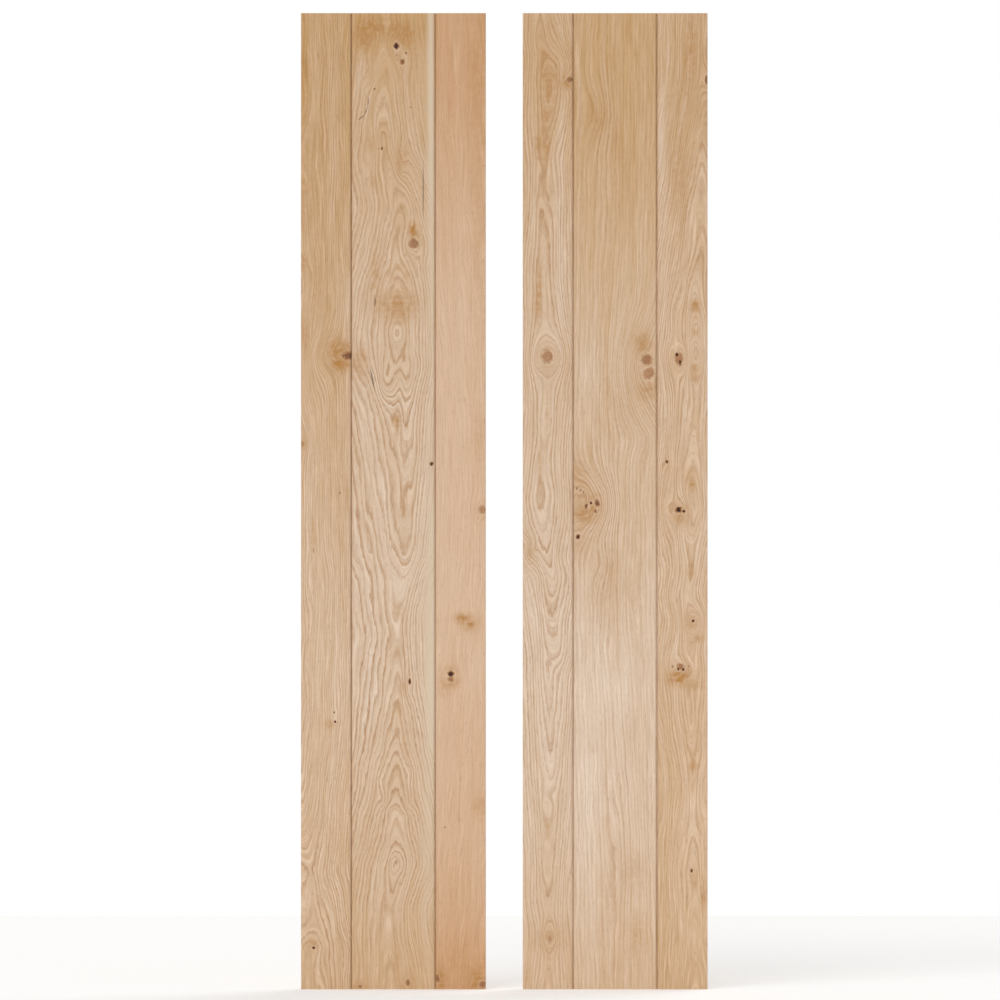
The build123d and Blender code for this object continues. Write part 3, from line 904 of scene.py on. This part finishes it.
def oak_grain(tree, place, grain, rings, contrast, tone, streak, deep_hex, pale_hex):
    """Colour and ring line of plain oak. Colour runs from deep to pale with the tone and the fibres. The
    line is a power of the way through a ring, cut off sharply at its end, some rings stronger."""
    frayed = patches(tree, place, FEATHER_SIZE)
    shift = add(tree, "MapRange", {"Value": frayed, **either_side(FEATHER)})
    rings = add(tree, "Math", {0: rings, 1: shift})
    through = add(tree, "Math", {0: rings}, operation="FRACT")
    line = add(tree, "Math", {0: through, 1: LINE_POWER}, operation="POWER")
    end = add(tree, "MapRange", {"Value": through, **LINE_END})
    number = add(tree, "Math", {0: rings}, operation="FLOOR")
    chance = add(tree, "TexWhiteNoise", {"W": number}, noise_dimensions="1D")
    season = add(tree, "MapRange", {"Value": chance, **SEASONS})
    for share in (end, season, contrast):
        line = add(tree, "Math", {0: line, 1: share}, operation="MULTIPLY")

    fine = patches(tree, grain, FINE_FIBRE)
    broad = patches(tree, grain, BROAD_FIBRE, BROAD_DETAIL)
    shade = tone
    for fibres, amount in ((fine, FINE_TONE), (broad, BROAD_TONE)):
        swing = add(tree, "MapRange", {"Value": fibres, **either_side(amount * streak)})
        shade = add(tree, "Math", {0: shade, 1: swing})
    span = {FACTOR: shade, FIRST: linear(deep_hex), SECOND: linear(pale_hex)}
    base = add(tree, "Mix", span, MIXED, data_type="RGBA", clamp_factor=False)
    bright = add(tree, "MapRange", {"Value": fine, **either_side(FIBRE_LIGHT * streak, 1.0)})
    lit = add(tree, "HueSaturation", {"Value": bright, "Color": base})

    drawn = add(tree, "Math", {0: line, 1: LINE_STRENGTH}, operation="MULTIPLY", use_clamp=True)
    scratches = patches(tree, grain, PORE_SIZE, PORE_DETAIL)
    pore = add(tree, "MapRange", {"Value": scratches, **PORES})
    colour = coated(tree, lit, ((drawn, linear(LINE_HEX)), (pore, linear(PORE_HEX))))
    return colour, line, fine, pore


print("fine fibres in a metre:", round(cells_per_metre(FINE_FIBRE)[0]))

# %% Planed surface
PLANED_ROUGHNESS = {"To Min": 0.50, "To Max": 0.68}
PLANED_SHEEN = 0.25
PLANED_BUMP = {"Distance": 0.0004, "Strength": 0.6}
FIBRE_RIDGE, PORE_DROP = 0.5, -2.0


def planed(tree, colour, line, fine, pore, sunk=None):
    """Ends an oak tree: soft sheen, rougher on the dark line, and a shallow relief of fibres and pores."""
    rough = add(tree, "MapRange", {"Value": line, **PLANED_ROUGHNESS})
    relief = line
    for part, height in ((fine, FIBRE_RIDGE), (pore, PORE_DROP)):
        relief = add(tree, "Math", {0: part, 1: height, 2: relief}, operation="MULTIPLY_ADD")
    if sunk:
        relief = add(tree, "Math", {0: relief, 1: sunk}, operation="SUBTRACT")
    bump = add(tree, "Bump", {"Height": relief, **PLANED_BUMP})
    surface = {"Base Color": colour, "Roughness": rough, "Normal": bump, "Specular IOR Level": PLANED_SHEEN}
    wood = add(tree, "BsdfPrincipled", surface)
    add(tree, "OutputMaterial", {"Surface": wood})


print("relief of a ring line in millimetres:", PLANED_BUMP["Distance"] / MM)

# %% [markdown]
# ## Oak for the boards
# The boards add what the log leaves behind: cream sapwood, brown stain round old branches, and the knots
# themselves. A living knot is brown with rings of its own, and a dead one has a black heart. Both have a
# ragged outline and a paler rim. A drying crack is a thin grey line. Each is a coat over the plain oak,
# laid in the order in which they hide one another. The three finishes differ only in how deep and how
# pale their oak is, and in how strongly it is streaked.

# %% Knots and cracks
RIM_HEX = "#dfc7a8"
KNOT_PALE_HEX = "#b37b4c"
KNOT_DEEP_HEX = "#7e4c2c"
HEART_HEX = "#331d12"
CRACK_HEX = "#665850"
RAGGED_SIZE = (5, 5, 7)
RAGGED = 0.6
KNOT_RINGS = 15.0
KNOT_SHARE = {"To Min": 0.3, "To Max": 1.0}
DEAD_SHARE = {"From Min": 0.68, "From Max": 1.0}
RIM_EDGE = {"From Min": 1.7, "From Max": 1.15, "To Max": 0.32}
KNOT_EDGE = {"From Min": 1.15, "From Max": 0.7}
HEART_EDGE = {"From Min": 0.8, "From Max": 0.4}
CRACK_EDGE = {"From Min": 1.0, "From Max": 0.5, "To Max": 0.85}


def mark_coats(tree, place):
    """Coats of the nearest mark, and how far it sinks. Reach is the distance from the mark's centre in
    units of its half sizes, with uneven patches added for a knot and none for a crack."""
    mark = add(tree, "Attribute", output="Vector", attribute_name="mark")
    flat = add(tree, "VectorMath", {0: mark, 1: (1, 1, 0)}, operation="MULTIPLY")
    smooth_reach = add(tree, "VectorMath", {0: flat}, "Value", operation="LENGTH")
    ragged = patches(tree, place, RAGGED_SIZE)
    uneven = add(tree, "MapRange", {"Value": ragged, **either_side(RAGGED)})
    reach = add(tree, "Math", {0: smooth_reach, 1: uneven})
    dark = add(tree, "SeparateXYZ", {0: mark}, "Z")
    is_knot = add(tree, "Math", {0: dark, 1: 0.0}, operation="GREATER_THAN")
    is_crack = add(tree, "Math", {0: 1.0, 1: is_knot}, operation="SUBTRACT")

    wave = add(tree, "Math", {0: reach, 1: KNOT_RINGS}, operation="MULTIPLY")
    swing = add(tree, "Math", {0: wave}, operation="SINE")
    banded = add(tree, "MapRange", {"Value": swing, "From Min": -1.0})
    knot_wood = coated(tree, linear(KNOT_PALE_HEX), ((banded, linear(KNOT_DEEP_HEX)),))

    share = add(tree, "MapRange", {"Value": dark, **KNOT_SHARE})
    knotty = add(tree, "Math", {0: share, 1: is_knot}, operation="MULTIPLY")
    dead = add(tree, "MapRange", {"Value": dark, **DEAD_SHARE})
    around = add(tree, "MapRange", {"Value": reach, **RIM_EDGE})
    within = add(tree, "MapRange", {"Value": reach, **KNOT_EDGE}, interpolation_type="SMOOTHSTEP")
    deep_in = add(tree, "MapRange", {"Value": reach, **HEART_EDGE})
    slit = add(tree, "MapRange", {"Value": smooth_reach, **CRACK_EDGE})
    rim, knot, heart, crack = (
        add(tree, "Math", {0: inside, 1: strength}, operation="MULTIPLY")
        for inside, strength in ((around, knotty), (within, knotty), (deep_in, dead), (slit, is_crack))
    )
    coats = (
        (rim, linear(RIM_HEX)), (knot, knot_wood), (heart, linear(HEART_HEX)), (crack, linear(CRACK_HEX)),
    )
    sunk = add(tree, "Math", {0: heart, 1: crack}, operation="MAXIMUM")
    return coats, sunk


print("half sizes that a knot's pale rim reaches out to:", RIM_EDGE["From Min"])

# %% Oak for the boards
SAP_HEX = "#dac6ac"
STAIN_HEX = "#b48146"
SAP_STRENGTH = 0.9
MOTTLE_SIZE = (6, 6, 10)
MOTTLED = {"From Min": 0.3, "From Max": 0.7, "To Min": 0.4, "To Max": 1.5}


def board_oak(name, deep_hex, pale_hex, streak):
    """Planed oak that reads the ring count, the stains and the nearest mark stored on a board."""
    material, tree = new_material(name)
    rings, contrast, tone, sap, brown = (
        add(tree, "Attribute", output="Fac", attribute_name=fact)
        for fact in ("rings", "contrast", "tone", "sap", "brown")
    )
    grain = add(tree, "Attribute", output="Vector", attribute_name="grain")
    place = add(tree, "TexCoord", output="Object")
    oak, line, fine, pore = oak_grain(tree, place, grain, rings, contrast, tone, streak, deep_hex, pale_hex)
    mottle = patches(tree, grain, MOTTLE_SIZE)
    patchy = add(tree, "MapRange", {"Value": mottle, **MOTTLED})
    sapwood = add(tree, "Math", {0: sap, 1: SAP_STRENGTH}, operation="MULTIPLY", use_clamp=True)
    stain = add(tree, "Math", {0: brown, 1: patchy}, operation="MULTIPLY", use_clamp=True)
    marks, sunk = mark_coats(tree, place)
    coats = ((sapwood, linear(SAP_HEX)), (stain, linear(STAIN_HEX)), *marks)
    planed(tree, coated(tree, oak, coats), line, fine, pore, sunk)
    return material


BOARD_OAKS = {
    "tan_oak_board": board_oak("tan_planed_oak", "#c59d6c", "#dcc0a4", streak=1.5),
    "pale_oak_board": board_oak("pale_planed_oak", "#c8a070", "#dec5ac", streak=1.2),
    "pink_oak_board": board_oak("pink_planed_oak", "#ca9b6f", "#dcbc9f", streak=0.85),
}
for node, piece in boards.items():
    piece.data.materials.append(BOARD_OAKS[BOARDS[node].finish])
print("board finishes:", len(BOARD_OAKS))

# %% [markdown]
# ## Ledges and pellets
# The ledges are oak too, with the grain running across the door. Their solids are already right, so they
# stay and only get a finish. Here the ring count comes from the place itself: height over the ring
# spacing, bent by slow noise. The pellets are cut from another board, so they take a deeper tone and
# their own count, with the grain lined up with the ledge as a joiner would set it.

# %% Ledges and pellets
CROSS_GRAIN = (0, np.pi / 2, 0)
BEND_SIZE = (420, 60, 60)
BEND_DETAIL, BEND_ROUGHNESS = 1.0, 0.5
CONTRAST_GAIN = 1.2
TONE_DRIFT = 0.25
LEDGE_STREAK = 1.0


def across_oak(name, deep_hex, pale_hex, ring_spacing, bend, contrast, tone):
    """Planed oak with its grain along X. Rings are counted from the height, plus half as fast from front to
    back, plus a bend that changes slowly."""
    material, tree = new_material(name)
    place = add(tree, "TexCoord", output="Object")
    grain = add(tree, "Mapping", {"Vector": place, "Rotation": CROSS_GRAIN})
    slow = patches(tree, place, BEND_SIZE, BEND_DETAIL, BEND_ROUGHNESS)
    rings_per_metre = 1 / (ring_spacing * MM)
    count = {0: place, 1: (0, rings_per_metre / 2, rings_per_metre)}
    spread = add(tree, "VectorMath", count, "Value", operation="DOT_PRODUCT")
    rings = add(tree, "Math", {0: slow, 1: bend, 2: spread}, operation="MULTIPLY_ADD")
    stronger = contrast * CONTRAST_GAIN
    contrast_here = add(tree, "MapRange", {"Value": slow, "To Min": contrast, "To Max": stronger})
    tone_here = add(tree, "MapRange", {"Value": slow, **either_side(TONE_DRIFT, tone)})
    look = (contrast_here, tone_here, LEDGE_STREAK, deep_hex, pale_hex)
    planed(tree, *oak_grain(tree, grain, grain, rings, *look))
    return material


CROSS_OAKS = {
    "ledge": across_oak(
        "planed_ledge_oak", "#bd976f", "#d9bc9b", ring_spacing=7, bend=14, contrast=0.75, tone=0.5,
    ),
    "pellets": across_oak(
        "planed_pellet_oak", "#ad8459", "#c8a67f", ring_spacing=2.5, bend=5, contrast=0.8, tone=0.4,
    ),
}
cross_solids = [(node.split("_")[-1], solid) for node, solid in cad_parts.items() if "ledge" in node]
for kind, solid in cross_solids:
    solid.data.materials.clear()
    solid.data.materials.append(CROSS_OAKS[kind])
print("ledges and pellets dressed:", len(cross_solids))
